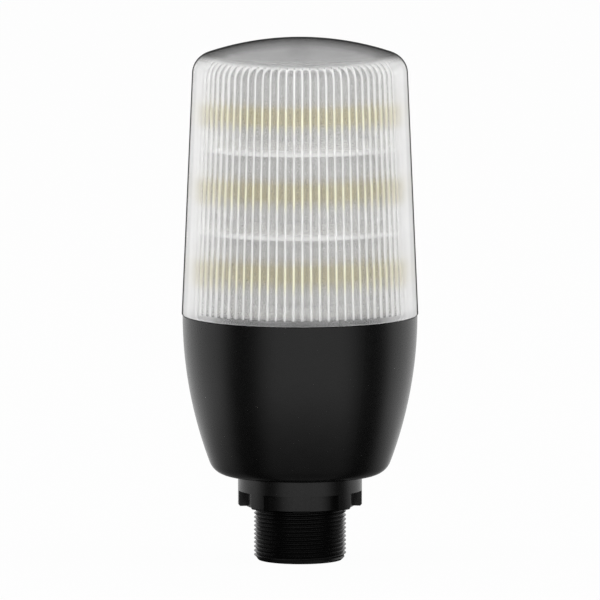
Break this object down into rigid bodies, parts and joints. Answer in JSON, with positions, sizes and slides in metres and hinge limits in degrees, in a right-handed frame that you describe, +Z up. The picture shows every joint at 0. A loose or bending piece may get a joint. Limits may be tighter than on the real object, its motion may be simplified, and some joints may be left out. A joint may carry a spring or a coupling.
{
  "type": "stack light",
  "caption": "Compact tiered signal light: a clear ribbed domed lens over white LED rings, on a tapered black housing with a hollow threaded stub and a castellated nut.",
  "frame": {"origin": "on the axis, in the plane of the housing's underside that seats against the panel", "axes": "+Z up along the axis towards the dome, -Y to the front of the light"},
  "size_m": [0.0564, 0.0564, 0.1249],
  "materials": {
    "lens_clear": "clear polycarbonate, polished outside, ribbed inside",
    "housing_black": "satin black moulding with a fine grain",
    "nut_black": "satin black glass-filled plastic",
    "seal_rubber": "matte black rubber",
    "reflector_white": "white reflector plastic",
    "led_board_white": "white solder mask",
    "led_package": "white LED package",
    "led_phosphor": "yellow phosphor gel, unlit",
    "circuit_board": "green solder mask on glass laminate",
    "screw_steel": "zinc plated steel",
    "terminal_green": "green terminal housing",
    "component_black": "black epoxy packages",
    "contact_brass": "tinned brass pins",
    "capacitor_can": "sleeved aluminium cans"
  },
  "bodies": {
    "base": {"housing": "housing_black", "lens_seal": "seal_rubber", "column_base": "reflector_white", "reflector_middle": "reflector_white", "reflector_upper": "reflector_white", "column_cap": "reflector_white", "riser_board": "circuit_board", "driver_board": "circuit_board", "terminal_board": "circuit_board", "tie_screw": "screw_steel", "tie_nut": "screw_steel", "column_screws": "screw_steel", "board_screws": "screw_steel", "terminal_block": "terminal_green", "terminal_screws": "screw_steel", "socket_strip": "component_black", "header_spacer": "component_black", "header_pins": "contact_brass", "bridge_rectifiers": "component_black", "limiting_resistors": "component_black", "current_regulators": "component_black", "smoothing_capacitors": "capacitor_can", "led_board_lower": "led_board_white", "leds_lower": "led_package", "phosphor_lower": "led_phosphor", "led_board_middle": "led_board_white", "leds_middle": "led_package", "phosphor_middle": "led_phosphor", "led_board_upper": "led_board_white", "leds_upper": "led_package", "phosphor_upper": "led_phosphor"},
    "lens": {"lens": "lens_clear"},
    "gasket": {"panel_gasket": "seal_rubber"},
    "locknut": {"locknut": "nut_black"}
  },
  "joints": [
    {"name": "lens_twist", "type": "hinge", "parent": "base", "child": "lens", "pos_m": [0, 0, 0.0384], "axis": [0, 0, 1], "range_deg": [0, 30]},
    {"name": "nut_travel", "type": "slide", "parent": "base", "child": "gasket", "axis": [0, 0, -1], "range_m": [0, 0.01201]},
    {"name": "nut_turn", "type": "hinge", "parent": "gasket", "child": "locknut", "pos_m": [0, 0, -0.0035], "axis": [0, 0, -1], "range_deg": [0, 4320]}
  ],
  "couplings": [
    {"joint": "nut_travel", "follows": "nut_turn", "m_per_rad": 0.00015915}
  ]
}
